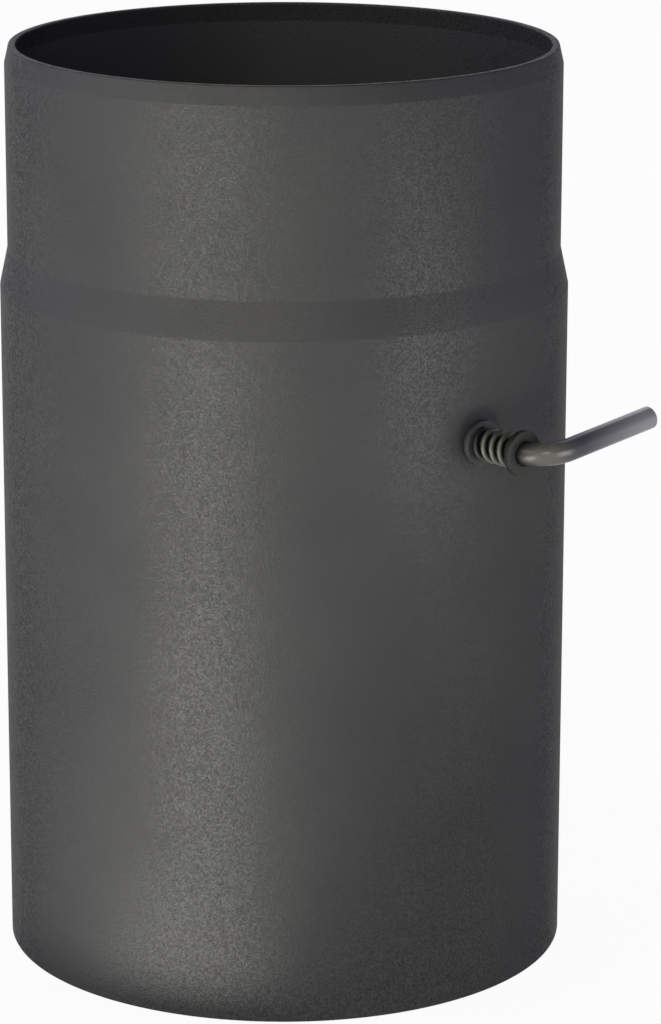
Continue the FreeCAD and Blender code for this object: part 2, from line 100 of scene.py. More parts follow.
# Runs a tree on a start mesh and keeps the result as a plain mesh object, moved to
# its place and with its faces turned outwards
def growMesh(name, start, tree, values, place, sharpAngle):
    source = bpy.data.objects.new(name + "Start", start)
    bpy.context.scene.collection.objects.link(source)
    modifier = source.modifiers.new(tree.name, "NODES")
    modifier.node_group = tree
    for item in tree.interface.items_tree:
        if item.in_out == "INPUT" and item.name in values:
            modifier[item.identifier] = values[item.name]
    evaluated = source.evaluated_get(bpy.context.evaluated_depsgraph_get())
    mesh = bpy.data.meshes.new_from_object(evaluated)
    source.modifiers.remove(modifier)
    bpy.data.objects.remove(source)
    mesh.name = name
    mesh.transform(place)
    piece = bpy.data.objects.new(name, mesh)
    bpy.context.scene.collection.objects.link(piece)
    faces = bmesh.new()
    faces.from_mesh(mesh)
    if faces.calc_volume(signed=True) < 0:
        bmesh.ops.reverse_faces(faces, faces=faces.faces)
        faces.to_mesh(mesh)
    faces.free()
    shadeByAngle(mesh, sharpAngle)
    print(f"{name}: {len(mesh.polygons)} faces")
    return piece


# Smooth-shaded copy of a CAD node, its loose triangles merged first
def smoothCopy(node, name, material, sharpAngle):
    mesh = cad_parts[node].data.copy()
    mesh.name = name
    merged = bmesh.new()
    merged.from_mesh(mesh)
    bmesh.ops.remove_doubles(merged, verts=merged.verts, dist=mergeDistance)
    merged.to_mesh(mesh)
    merged.free()
    mesh.materials.clear()
    mesh.materials.append(material)
    if "custom_normal" in mesh.attributes:
        mesh.attributes.remove(mesh.attributes["custom_normal"])
    shadeByAngle(mesh, sharpAngle)
    piece = bpy.data.objects.new(name, mesh)
    bpy.context.scene.collection.objects.link(piece)
    print(f"{name}: {len(mesh.polygons)} faces")
    return piece


# Camera at the photograph's place, fitted to the outline of the pipe; angles in
# radians apart from the azimuth
cameraSet = {
    "azimuth": 48.626,  # round the pipe from -Y towards +X
    "distance": 1.106698,  # from the pipe's axis
    "height": 0.420277,  # the pipe's rim is at 0.25
    "pitch": 0.26538,
    "yaw": 0.01144,
    "roll": 0.00186,
    "lens": 146.16,
    "sensor": 36,
    "clip": (0.01, 50),
}


def placeCamera(values):
    azimuth = math.radians(values["azimuth"])
    ahead = Vector((-math.sin(azimuth), math.cos(azimuth), 0))
    side = Vector((math.cos(azimuth), math.sin(azimuth), 0))
    up = Vector((0, 0, 1))
    yaw, pitch, roll = values["yaw"], values["pitch"], values["roll"]
    look = (side * math.sin(yaw) + ahead * math.cos(yaw)) * math.cos(pitch) - up * math.sin(pitch)
    right = side * math.cos(yaw) - ahead * math.sin(yaw)
    top = right.cross(look)
    turnedRight = right * math.cos(roll) + top * math.sin(roll)
    turnedTop = top * math.cos(roll) - right * math.sin(roll)
    data = bpy.data.cameras.new("photoCamera")
    data.lens = values["lens"]
    data.sensor_width = values["sensor"]
    data.clip_start, data.clip_end = values["clip"]
    camera = bpy.data.objects.new("photoCamera", data)
    bpy.context.scene.collection.objects.link(camera)
    axes = Matrix((turnedRight, turnedTop, -look)).transposed().to_4x4()
    spot = -ahead * values["distance"] + up * values["height"]
    camera.matrix_world = Matrix.Translation(spot) @ axes
    bpy.context.scene.camera = camera


placeCamera(cameraSet)
print("camera placed")


# Materials

paintSet = {
    "body": "#444445",
    "light": "#4e4e4e",
    # the bore, at the dark end of the outside's cloud: painted shade inside the pipe
    "inside": "#444446",
    "washerShade": "#3e3e40",  # painted shade on the wall round the wall washer, darkest at the spindle's hole
    "washerShadePlace": (0.077, 0.0, 0.1565),
    "washerShadeSpread": (0.0058, 0.0082),  # black up to the first distance, gone at the second
    "cloud": 0.035,  # size of the faint cloudiness that spraying leaves
    "flake": 0.0005,  # real flakes are finer; this is the smallest that shows
    "fewFlakes": (0.0, 0.95),  # metallic share and brightness where flakes are few
    "manyFlakes": (0.72, 1.05),  # and where they crowd
    "grainStrength": 0.42,
    "grainDepth": 0.0002,
    "roughness": 0.5,
    "gloss": 0.05,  # the binder is matt, so only the flakes shine
    "edgeTint": (0.2, 0.2, 0.2, 1),
}


# Silicone stove paint with fine metal flakes, sprayed on sheet steel: a matt dark grey
# film, a little cloudy, whose flakes glitter like sand inside the highlight; the bore and a
# ring round the spindle's hole carry painted shade
def stovePaint(values):
    material = bpy.data.materials.new("stovePaint")
    material.use_nodes = True
    tree = material.node_tree
    shader = tree.nodes["Principled BSDF"]
    place = addNode(tree, "ShaderNodeTexCoord").outputs["Object"]
    clouds = addNode(
        tree, "ShaderNodeTexNoise", None,
        {"Vector": place, "Scale": 1 / values["cloud"], "Detail": 3.0, "Roughness": 0.5},
    )
    tint = addNode(
        tree, "ShaderNodeMix", {"data_type": "RGBA"},
        {"Factor": clouds.outputs["Fac"], 6: colour(values["body"]), 7: colour(values["light"])},
    )
    # Painted shade: the bore takes its own, darker colour
    insideMask = addNode(tree, "ShaderNodeAttribute", {"attribute_name": "inside"})
    coat = addNode(
        tree, "ShaderNodeMix", {"data_type": "RGBA"},
        {"Factor": insideMask.outputs["Fac"], 6: tint.outputs[2], 7: colour(values["inside"])},
    )
    # Painted shade: the coat darkens in a ring round the spindle's hole, where the wall washer
    # sits
    away = addNode(
        tree, "ShaderNodeVectorMath", {"operation": "DISTANCE"},
        {0: place, 1: values["washerShadePlace"]},
    )
    washerShade = addNode(
        tree, "ShaderNodeMapRange", {"interpolation_type": "SMOOTHSTEP"},
        {"Value": away.outputs["Value"], "From Min": values["washerShadeSpread"][1],
         "From Max": values["washerShadeSpread"][0]},
    )
    shadedCoat = addNode(
        tree, "ShaderNodeMix", {"data_type": "RGBA"},
        {"Factor": washerShade.outputs["Result"], 6: coat.outputs[2], 7: colour(values["washerShade"])},
    )
    flakes = addNode(
        tree, "ShaderNodeTexVoronoi", None, {"Vector": place, "Scale": 1 / values["flake"]}
    )
    oneByOne = addNode(tree, "ShaderNodeSeparateColor", None, {"Color": flakes.outputs["Color"]})
    share = addNode(
        tree, "ShaderNodeMapRange", None,
        {"Value": oneByOne.outputs["Red"], "To Min": values["fewFlakes"][0],
         "To Max": values["manyFlakes"][0]},
    )
    glint = addNode(
        tree, "ShaderNodeMapRange", None,
        {"Value": oneByOne.outputs["Red"], "To Min": values["fewFlakes"][1],
         "To Max": values["manyFlakes"][1]},
    )
    sandy = addNode(
        tree, "ShaderNodeVectorMath", {"operation": "SCALE"},
        {0: shadedCoat.outputs[2], "Scale": glint.outputs["Result"]},
    )
    grain = addNode(
        tree, "ShaderNodeTexNoise", None,
        {"Vector": place, "Scale": 1 / values["flake"], "Detail": 1.0, "Roughness": 0.6},
    )
    bump = addNode(
        tree, "ShaderNodeBump", None,
        {"Strength": values["grainStrength"], "Distance": values["grainDepth"],
         "Height": grain.outputs["Fac"]},
    )
    tree.links.new(sandy.outputs["Vector"], shader.inputs["Base Color"])
    tree.links.new(share.outputs["Result"], shader.inputs["Metallic"])
    tree.links.new(bump.outputs["Normal"], shader.inputs["Normal"])
    shader.inputs["Roughness"].default_value = values["roughness"]
    shader.inputs["Specular IOR Level"].default_value = values["gloss"]
    shader.inputs["Specular Tint"].default_value = values["edgeTint"]
    return material


filmGloss = 0.1  # how far the oxide and grime on the steel still shine

# Steel finishes: two colours that the patches run between, how metallic, how
# rough, patch size; a change is an axis (0 X, 1 Y), where it starts, where the new
# colour is reached, and that colour
steelSets = {
    # drawn rod under black oxide from the stove's heat. Along it: the bend keeps the lighter
    # base colour, a painted highlight; just past the bend it is darker and bluer; towards the
    # end that is gripped it grows lighter; towards the outer washer it darkens to near black,
    # painted shade
    "blackOxideRodSteel": {
        "dark": "#5a5854", "light": "#64625e", "metallic": 0.28, "roughness": 0.3,
        "patch": 0.004,
        "changes": [
            (1, 0.003, 0.009, "#47474e"), (1, 0.012, 0.034, "#848489"),
            # near black from the outer washer inwards: painted shade by the washer's hole
            (0, 0.0985, 0.0940, "#28282a"),
        ],
    },
    # stamped washer in the open, dulled to a brown grey
    "dulledWasherSteel": {
        "dark": "#323231", "light": "#3a3a38", "metallic": 0.8, "roughness": 0.55,
        "patch": 0.003,
    },
    # washers against the pipe: a copy of the washer steel whose tone stands for the shade by the
    # wall, painted shade
    "wallShadeWasherSteel": {
        "dark": "#46464a", "light": "#4e4e50", "metallic": 0.6, "roughness": 0.6,
        "patch": 0.003,
    },
    # patented spring wire, its phosphate coat gone greenish grey; its turn at the wall is near
    # black, painted shade
    "springWireSteel": {
        "dark": "#62635b", "light": "#6e6f67", "metallic": 0.75, "roughness": 0.55,
        "patch": 0.003,
        # painted shade on the turn by the wall washer
        "changes": [(0, 0.0818, 0.0795, "#303030")],
    },
    # plain screws, nuts and split pin, their zinc gone dull
    "dullZincSteel": {
        "dark": "#7a7a76", "light": "#8d8d89", "metallic": 1.0, "roughness": 0.4,
        "patch": 0.002,
    },
}


def steelFinish(name, values):
    material = bpy.data.materials.new(name)
    material.use_nodes = True
    tree = material.node_tree
    shader = tree.nodes["Principled BSDF"]
    place = addNode(tree, "ShaderNodeTexCoord").outputs["Object"]
    patches = addNode(
        tree, "ShaderNodeTexNoise", None,
        {"Vector": place, "Scale": 1 / values["patch"], "Detail": 4.0, "Roughness": 0.6},
    )
    tint = addNode(
        tree, "ShaderNodeMix", {"data_type": "RGBA"},
        {"Factor": patches.outputs["Fac"], 6: colour(values["dark"]),
         7: colour(values["light"])},
    )
    finish = tint.outputs[2]
    parts = addNode(tree, "ShaderNodeSeparateXYZ", None, {0: place})
    for axis, start, end, hexCode in values.get("changes", []):
        change = addNode(
            tree, "ShaderNodeMapRange", None,
            {"Value": parts.outputs[axis], "From Min": start, "From Max": end},
        )
        changed = addNode(
            tree, "ShaderNodeMix", {"data_type": "RGBA"},
            {"Factor": change.outputs["Result"], 6: finish, 7: colour(hexCode)},
        )
        finish = changed.outputs[2]
    tree.links.new(finish, shader.inputs["Base Color"])
    shader.inputs["Metallic"].default_value = values["metallic"]
    shader.inputs["Roughness"].default_value = values["roughness"]
    shader.inputs["Specular IOR Level"].default_value = filmGloss
    return material


paint = stovePaint(paintSet)
steels = {name: steelFinish(name, values) for name, values in steelSets.items()}
print("materials made")


# Flue pipe: a turned profile with the spindle's holes cut through it

pipeSet = {
    "radius": 0.077,
    "wall": 0.002,
    "length": 0.25,
    "spigotRadius": 0.07485,
    "spigotLength": 0.05,
    "swageLength": 0.01,
    "lipLength": 0.005,
    "lipRadius": 0.0737,
    "socketDepth": 0.055,
    "socketGrowth": 0.00015,
    "socketRunout": 0.003,
    "rimRounding": 0.0004,
    "swageRounding": 0.003,
    "lipRounding": 0.0015,
    "segments": 240,
    "holeRadius": 0.0033,
    "holeMargin": 0.004,  # half height of the band that the hole is cut from
    "drillSides": 64,
    "drillLength": 0.2,
    "cornerSteps": 5,
}


straightCorner = math.radians(89.5)  # half a corner's angle, past which it isn't rounded
sideParts = 2.2  # a support point goes at most one of these parts along its side
supportStart = 1.2  # and at least this many times the rounding's own run


# Corners (radius, height, rounding) to a closed line, with a support point on each
# side of a rounding so that it shades cleanly
def roundedLine(corners, steps):
    points = []
    count = len(corners)
    for number in range(count):
        before = Vector(corners[number - 1][:2])
        here = Vector(corners[number][:2])
        after = Vector(corners[(number + 1) % count][:2])
        rounding = corners[number][2]
        back = (before - here).normalized()
        on = (after - here).normalized()
        half = back.angle(on) / 2
        if rounding == 0 or half > straightCorner:
            points.append(here)
            continue
        run = rounding / math.tan(half)
        centre = here + (back + on).normalized() * (rounding / math.sin(half))
        first = here + back * run - centre
        last = here + on * run - centre
        turn = first.angle_signed(last)
        support = min(run + rounding, (before - here).length / sideParts)
        points.append(here + back * max(support, run * supportStart))
        for step in range(steps + 1):
            points.append(centre + Matrix.Rotation(-turn * step / steps, 2) @ first)
        support = min(run + rounding, (after - here).length / sideParts)
        points.append(here + on * max(support, run * supportStart))
    return points


def pipeProfile(values):
    radius = values["radius"]
    bore = radius - values["wall"]
    spigotBore = values["spigotRadius"] - values["wall"]
    lipBore = values["lipRadius"] - values["wall"]
    socketBore = bore + values["socketGrowth"]
    lipStart = values["length"] - values["lipLength"]
    spigotStart = lipStart - values["spigotLength"]
    swageStart = spigotStart - values["swageLength"]
    swageSlope = math.atan((radius - values["spigotRadius"]) / values["swageLength"])
    lipSlope = math.atan((values["spigotRadius"] - values["lipRadius"]) / values["lipLength"])
    swageShift = values["wall"] * math.tan(swageSlope / 2)
    lipShift = values["wall"] * math.tan(lipSlope / 2)
    rim, swage, lip = values["rimRounding"], values["swageRounding"], values["lipRounding"]
    low, high = axisHeight - values["holeMargin"], axisHeight + values["holeMargin"]
    corners = [
        (radius, 0, rim),
        (radius, low, 0),
        (radius, high, 0),
        (radius, swageStart, swage),
        (values["spigotRadius"], spigotStart, swage),
        (values["spigotRadius"], lipStart, lip),
        (values["lipRadius"], values["length"], rim),
        (lipBore, values["length"], rim),
        (spigotBore, lipStart - lipShift, lip),
        (spigotBore, spigotStart - swageShift, swage),
        (bore, swageStart - swageShift, swage),
        (bore, high, 0),
        (bore, low, 0),
        (bore, values["socketDepth"] + values["socketRunout"], 0),
        (socketBore, values["socketDepth"], 0),
        (socketBore, 0, rim),
    ]
    line = roundedLine(corners, values["cornerSteps"])
    mesh = bpy.data.meshes.new("pipeProfile")
    points = [(point.x - radius, -point.y, 0) for point in line]
    mesh.from_pydata(points, [(i, (i + 1) % len(points)) for i in range(len(points))], [])
    return mesh


def pipeTree():
    tree, given = startTree("turnedPipe", {
        "Radius": "NodeSocketFloat",
        "Segments": "NodeSocketInt",
        "Hole Radius": "NodeSocketFloat",
        "Hole Height": "NodeSocketFloat",
        "Paint": "NodeSocketMaterial",
    })
    profile = addNode(tree, "GeometryNodeMeshToCurve", None, {"Mesh": given["Geometry"]})
    circle = addNode(
        tree, "GeometryNodeCurvePrimitiveCircle", None,
        {"Resolution": given["Segments"], "Radius": given["Radius"]},
    )
    turned = addNode(
        tree, "GeometryNodeCurveToMesh", None,
        {"Curve": circle.outputs["Curve"], "Profile Curve": profile.outputs["Curve"]},
    )
    drill = addNode(
        tree, "GeometryNodeMeshCylinder", None,
        {"Vertices": pipeSet["drillSides"], "Radius": given["Hole Radius"],
         "Depth": pipeSet["drillLength"]},
    )
    height = addNode(tree, "ShaderNodeCombineXYZ", None, {"Z": given["Hole Height"]})
    across = addNode(
        tree, "GeometryNodeTransform", None,
        {"Geometry": drill.outputs["Mesh"], "Translation": height.outputs["Vector"],
         "Rotation": (0, math.pi / 2, 0)},
    )
    drilled = addNode(
        tree, "GeometryNodeMeshBoolean", {"operation": "DIFFERENCE", "solver": "EXACT"},
        {"Mesh 1": turned.outputs["Mesh"], "Mesh 2": across.outputs["Geometry"]},
    )
    # Inside are the faces that look towards the pipe's axis: there the product is
    # about minus the bore's radius, and on every other face it is above -0.02
    normal = addNode(tree, "GeometryNodeInputNormal")
    position = addNode(tree, "GeometryNodeInputPosition")
    level = addNode(
        tree, "ShaderNodeVectorMath", {"operation": "MULTIPLY"},
        {0: position.outputs["Position"], 1: (1, 1, 0)},
    )
    facing = addNode(
        tree, "ShaderNodeVectorMath", {"operation": "DOT_PRODUCT"},
        {0: normal.outputs["Normal"], 1: level.outputs["Vector"]},
    )
    inward = addNode(
        tree, "ShaderNodeMath", {"operation": "LESS_THAN"},
        {0: facing.outputs["Value"], 1: -0.02},
    )
    marked = addNode(
        tree, "GeometryNodeStoreNamedAttribute", {"data_type": "FLOAT", "domain": "FACE"},
        {"Geometry": drilled.outputs["Mesh"], "Name": "inside", "Value": inward.outputs["Value"]},
    )
    endTree(tree, marked.outputs["Geometry"], given["Paint"])
    return tree


pipe = growMesh("fluePipe", pipeProfile(pipeSet), pipeTree(), {
    "Radius": pipeSet["radius"],
    "Segments": pipeSet["segments"],
    "Hole Radius": pipeSet["holeRadius"],
    "Hole Height": axisHeight,
    "Paint": paint,
}, Matrix.Identity(4), sharpAngles["pipe"])
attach(pipe, "pipe")
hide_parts("flue_pipe")


# Washers: one ring on each point of the start mesh

washerSet = {
    "holeRadius": 0.0032,
    "outerRadius": 0.006,
    "thickness": 0.0016,
    "rounding": 0.0002,
    "segments": 72,
    "wallPlaces": (0.0778, -0.0778),  # middles of the two that lie on the pipe
    "handlePlaces": (0.0928,),
}


def washerTree():
    tree, given = startTree("washers", {
        "Hole Radius": "NodeSocketFloat",
        "Outer Radius": "NodeSocketFloat",
        "Thickness": "NodeSocketFloat",
        "Rounding": "NodeSocketFloat",
        "Segments": "NodeSocketInt",
        "Steel": "NodeSocketMaterial",
    })
    width = addNode(
        tree, "ShaderNodeMath", {"operation": "SUBTRACT"},
        {0: given["Outer Radius"], 1: given["Hole Radius"]},
    )
    middle = addNode(
        tree, "ShaderNodeMath", {"operation": "MULTIPLY_ADD"},
        {0: width.outputs["Value"], 1: 0.5, 2: given["Hole Radius"]},
    )
    section = addNode(
        tree, "GeometryNodeCurvePrimitiveQuadrilateral", None,
        {"Width": width.outputs["Value"], "Height": given["Thickness"]},
    )
    rounded = addNode(
        tree, "GeometryNodeFilletCurve", {"mode": "POLY"},
        {"Curve": section.outputs["Curve"], "Count": 3, "Radius": given["Rounding"]},
    )
    circle = addNode(
        tree, "GeometryNodeCurvePrimitiveCircle", None,
        {"Resolution": given["Segments"], "Radius": middle.outputs["Value"]},
    )
    ring = addNode(
        tree, "GeometryNodeCurveToMesh", None,
        {"Curve": circle.outputs["Curve"], "Profile Curve": rounded.outputs["Curve"]},
    )
    upright = addNode(
        tree, "GeometryNodeTransform", None,
        {"Geometry": ring.outputs["Mesh"], "Rotation": (0, math.pi / 2, 0)},
    )
    rings = addNode(
        tree, "GeometryNodeInstanceOnPoints", None,
        {"Points": given["Geometry"], "Instance": upright.outputs["Geometry"]},
    )
    endTree(tree, rings.outputs["Instances"], given["Steel"])
    return tree


def makeWashers(name, places, steel, place):
    start = bpy.data.meshes.new(name + "Places")
    start.from_pydata([(x, 0, 0) for x in places], [], [])
    return growMesh(name, start, ringTree, {
        "Hole Radius": washerSet["holeRadius"],
        "Outer Radius": washerSet["outerRadius"],
        "Thickness": washerSet["thickness"],
        "Rounding": washerSet["rounding"],
        "Segments": washerSet["segments"],
        "Steel": steel,
    }, place, sharpAngles["washers"])


ringTree = washerTree()
wallWashers = makeWashers(
    "wallWashers", washerSet["wallPlaces"], steels["wallShadeWasherSteel"],
    Matrix.Translation((0, 0, axisHeight)),
)
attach(wallWashers, "pipe")
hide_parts("wall_washer", "far_washer")
handleWasher = makeWashers(
    "handleWasher", washerSet["handlePlaces"], steels["dulledWasherSteel"], damperPlace
)
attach(handleWasher, "damper")
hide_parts("handle_washer")


# Spring: a helix of even pitch whose two ends are ground flat

springSet = {
    "start": 0.0787,
    "length": 0.0133,
    "pitch": 0.003,
    "coilRadius": 0.004,
    "wireRadius": 0.0007,
    "turnPoints": 48,
    "wirePoints": 20,
}


def springTree():
    tree, given = startTree("coilSpring", {
        "Start": "NodeSocketFloat",
        "Length": "NodeSocketFloat",
        "Pitch": "NodeSocketFloat",
        "Coil Radius": "NodeSocketFloat",
        "Wire Radius": "NodeSocketFloat",
        "Turn Points": "NodeSocketInt",
        "Wire Points": "NodeSocketInt",
        "Steel": "NodeSocketMaterial",
    })
    turns = addNode(
        tree, "ShaderNodeMath", {"operation": "DIVIDE"},
        {0: given["Length"], 1: given["Pitch"]},
    )
    helix = addNode(
        tree, "GeometryNodeCurveSpiral", None,
        {"Resolution": given["Turn Points"], "Rotations": turns.outputs["Value"],
         "Start Radius": given["Coil Radius"], "End Radius": given["Coil Radius"],
         "Height": given["Length"], "Reverse": True},
    )
    wire = addNode(
        tree, "GeometryNodeCurvePrimitiveCircle", None,
        {"Resolution": given["Wire Points"], "Radius": given["Wire Radius"]},
    )
    coil = addNode(
        tree, "GeometryNodeCurveToMesh", None,
        {"Curve": helix.outputs["Curve"], "Profile Curve": wire.outputs["Curve"],
         "Fill Caps": True},
    )
    start = addNode(tree, "ShaderNodeCombineXYZ", None, {"X": given["Start"]})
    along = addNode(
        tree, "GeometryNodeTransform", None,
        {"Geometry": coil.outputs["Mesh"], "Translation": start.outputs["Vector"],
         "Rotation": (0, -math.pi / 2, math.pi)},
    )
    # Grinding: what stands past either end is pressed back to the end's plane
    position = addNode(tree, "GeometryNodeInputPosition")
    parts = addNode(tree, "ShaderNodeSeparateXYZ", None, {0: position.outputs["Position"]})
    finish = addNode(
        tree, "ShaderNodeMath", {"operation": "ADD"},
        {0: given["Start"], 1: given["Length"]},
    )
    held = addNode(
        tree, "ShaderNodeClamp", None,
        {"Value": parts.outputs["X"], "Min": given["Start"], "Max": finish.outputs["Value"]},
    )
    flatEnd = addNode(
        tree, "ShaderNodeCombineXYZ", None,
        {"X": held.outputs["Result"], "Y": parts.outputs["Y"], "Z": parts.outputs["Z"]},
    )
    ground = addNode(
        tree, "GeometryNodeSetPosition", None,
        {"Geometry": along.outputs["Geometry"], "Position": flatEnd.outputs["Vector"]},
    )
    endTree(tree, ground.outputs["Geometry"], given["Steel"])
    return tree


spring = growMesh("handleSpring", bpy.data.meshes.new("springStart"), springTree(), {
    "Start": springSet["start"],
    "Length": springSet["length"],
    "Pitch": springSet["pitch"],
    "Coil Radius": springSet["coilRadius"],
    "Wire Radius": springSet["wireRadius"],
    "Turn Points": springSet["turnPoints"],
    "Wire Points": springSet["wirePoints"],
    "Steel": steels["springWireSteel"],
}, damperPlace, sharpAngles["spring"])
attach(spring, "damper")
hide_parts("compression_spring")


# Rod: spindle, bend and handle in one, swept along its path, with flats under the
# plate and the nuts and holes for the screws and the split pin

rodSet = {
    "radius": 0.003,
    "tail": -0.083,
    "bendRadius": 0.009,
    "bendSteps": 28,
    "handleLine": 0.10111,  # spindle's middle to the handle's centre line
    "handleLength": 0.039,
    "endBevel": 0.0006,
    "sides": 64,
    "flatHeight": 0.002,
    "flatHalf": 0.074,
    "nutFlatLength": 0.009,
    "screwSpacing": 0.08,
    "screwHole": 0.0016,
    "pinPlace": -0.0794,
    "pinHole": 0.0008,
    "cutterWidth": 0.012,  # the cutters reach well past the rod
    "cutterHeight": 0.006,
    "drillLength": 0.02,
    "screwDrillSides": 32,
    "pinDrillSides": 24,
}


# The rod's centre line, with how thick it is at each point
def rodPath(values):
    bevel, bend = values["endBevel"], values["bendRadius"]
    turnIn = values["handleLine"] - bend
    thin = 1 - bevel / values["radius"]
    line = [(values["tail"], 0, thin), (values["tail"] + bevel, 0, 1)]
    for step in range(values["bendSteps"] + 1):
        angle = math.pi / 2 * step / values["bendSteps"]
        line.append((turnIn + bend * math.sin(angle), bend - bend * math.cos(angle), 1))
    line.append((values["handleLine"], values["handleLength"] - bevel, 1))
    line.append((values["handleLine"], values["handleLength"], thin))
    mesh = bpy.data.meshes.new("rodPath")
    mesh.from_pydata(
        [(x, y, 0) for x, y, _ in line], [(i, i + 1) for i in range(len(line) - 1)], []
    )
    girth = mesh.attributes.new("girth", "FLOAT", "POINT")
    girth.data.foreach_set("value", [thickness for _, _, thickness in line])
    return mesh


def rodTree():
    tree, given = startTree("bentRod", {
        "Radius": "NodeSocketFloat",
        "Sides": "NodeSocketInt",
        "Flat Height": "NodeSocketFloat",
        "Flat Size": "NodeSocketVector",
        "Nut Flat Size": "NodeSocketVector",
        "Screw Spacing": "NodeSocketFloat",
        "Screw Hole": "NodeSocketFloat",
        "Pin Place": "NodeSocketFloat",
        "Pin Hole": "NodeSocketFloat",
        "Steel": "NodeSocketMaterial",
    })
    line = addNode(tree, "GeometryNodeMeshToCurve", None, {"Mesh": given["Geometry"]})
    circle = addNode(
        tree, "GeometryNodeCurvePrimitiveCircle", None,
        {"Resolution": given["Sides"], "Radius": given["Radius"]},
    )
    girth = addNode(
        tree, "GeometryNodeInputNamedAttribute", {"data_type": "FLOAT"}, {"Name": "girth"}
    )
    bar = addNode(
        tree, "GeometryNodeCurveToMesh", None,
        {"Curve": line.outputs["Curve"], "Profile Curve": circle.outputs["Curve"],
         "Scale": girth.outputs["Attribute"], "Fill Caps": True},
    )
    # Cutters: their middles stand half their own height beyond the flat
    reach = addNode(tree, "ShaderNodeSeparateXYZ", None, {0: given["Flat Size"]})
    rise = addNode(
        tree, "ShaderNodeMath", {"operation": "MULTIPLY_ADD"},
        {0: reach.outputs["Z"], 1: 0.5, 2: given["Flat Height"]},
    )
    drop = addNode(
        tree, "ShaderNodeMath", {"operation": "MULTIPLY"}, {0: rise.outputs[0], 1: -1.0}
    )
    above = addNode(tree, "ShaderNodeCombineXYZ", None, {"Z": rise.outputs[0]})
    below = addNode(tree, "ShaderNodeCombineXYZ", None, {"Z": drop.outputs[0]})
    plateBlock = addNode(tree, "GeometryNodeMeshCube", None, {"Size": given["Flat Size"]})
    plateFlat = addNode(
        tree, "GeometryNodeTransform", None,
        {"Geometry": plateBlock.outputs["Mesh"], "Translation": above.outputs["Vector"]},
    )
    nutBlock = addNode(tree, "GeometryNodeMeshCube", None, {"Size": given["Nut Flat Size"]})
    nutFlat = addNode(
        tree, "GeometryNodeTransform", None,
        {"Geometry": nutBlock.outputs["Mesh"], "Translation": below.outputs["Vector"]},
    )
    half = addNode(
        tree, "ShaderNodeMath", {"operation": "MULTIPLY"}, {0: given["Screw Spacing"], 1: -0.5}
    )
    first = addNode(tree, "ShaderNodeCombineXYZ", None, {"X": half.outputs[0]})
    step = addNode(tree, "ShaderNodeCombineXYZ", None, {"X": given["Screw Spacing"]})
    places = addNode(
        tree, "GeometryNodeMeshLine", None,
        {"Count": 2, "Start Location": first.outputs["Vector"], "Offset": step.outputs["Vector"]},
    )
    screwDrill = addNode(
        tree, "GeometryNodeMeshCylinder", None,
        {"Vertices": rodSet["screwDrillSides"], "Radius": given["Screw Hole"],
         "Depth": rodSet["drillLength"]},
    )
    cutters = []
    for tool in (nutFlat.outputs["Geometry"], screwDrill.outputs["Mesh"]):
        pair = addNode(
            tree, "GeometryNodeInstanceOnPoints", None,
            {"Points": places.outputs["Mesh"], "Instance": tool},
        )
        cutters.append(pair.outputs["Instances"])
    pinDrill = addNode(
        tree, "GeometryNodeMeshCylinder", None,
        {"Vertices": rodSet["pinDrillSides"], "Radius": given["Pin Hole"],
         "Depth": rodSet["drillLength"]},
    )
    pinPlace = addNode(tree, "ShaderNodeCombineXYZ", None, {"X": given["Pin Place"]})
    pinHole = addNode(
        tree, "GeometryNodeTransform", None,
        {"Geometry": pinDrill.outputs["Mesh"], "Translation": pinPlace.outputs["Vector"]},
    )
    cutters += [plateFlat.outputs["Geometry"], pinHole.outputs["Geometry"]]
    machined = addNode(
        tree, "GeometryNodeMeshBoolean", {"operation": "DIFFERENCE", "solver": "EXACT"},
        {"Mesh 1": bar.outputs["Mesh"], "Mesh 2": cutters},
    )
    endTree(tree, machined.outputs["Mesh"], given["Steel"])
    return tree


rod = growMesh("damperRod", rodPath(rodSet), rodTree(), {
    "Radius": rodSet["radius"],
    "Sides": rodSet["sides"],
    "Flat Height": rodSet["flatHeight"],
    "Flat Size": (2 * rodSet["flatHalf"], rodSet["cutterWidth"], rodSet["cutterHeight"]),
    "Nut Flat Size": (rodSet["nutFlatLength"], rodSet["cutterWidth"], rodSet["cutterHeight"]),
    "Screw Spacing": rodSet["screwSpacing"],
    "Screw Hole": rodSet["screwHole"],
    "Pin Place": rodSet["pinPlace"],
    "Pin Hole": rodSet["pinHole"],
    "Steel": steels["blackOxideRodSteel"],
}, damperPlace, sharpAngles["rod"])
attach(rod, "damper")
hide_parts("damper_rod")


# Screws and nuts that hold the plate on the rod: a hexagon whose corners are turned
# off, on a threaded shank or round a bore

fastenerSet = {
    "spacing": rodSet["screwSpacing"],
    "acrossFlats": 0.0055,
    "headSeat": 0.004,  # the plate's upper face
    "headHeight": 0.002,
    "nutSeat": -0.002,  # the flats under the rod
    "nutHeight": 0.0024,
    "bevelAngle": math.radians(30),
    "shankRadius": 0.0015,
    "shankLength": 0.01,
    "threadPitch": 0.0005,
    "threadDepth": 0.00027,
    "boreRadius": 0.00155,
    "coneSides": 72,
    "shankSides": 32,
    "shankRings": 160,  # eight to each turn of the thread
    "drillSides": 48,
    "drillLength": 0.02,
}


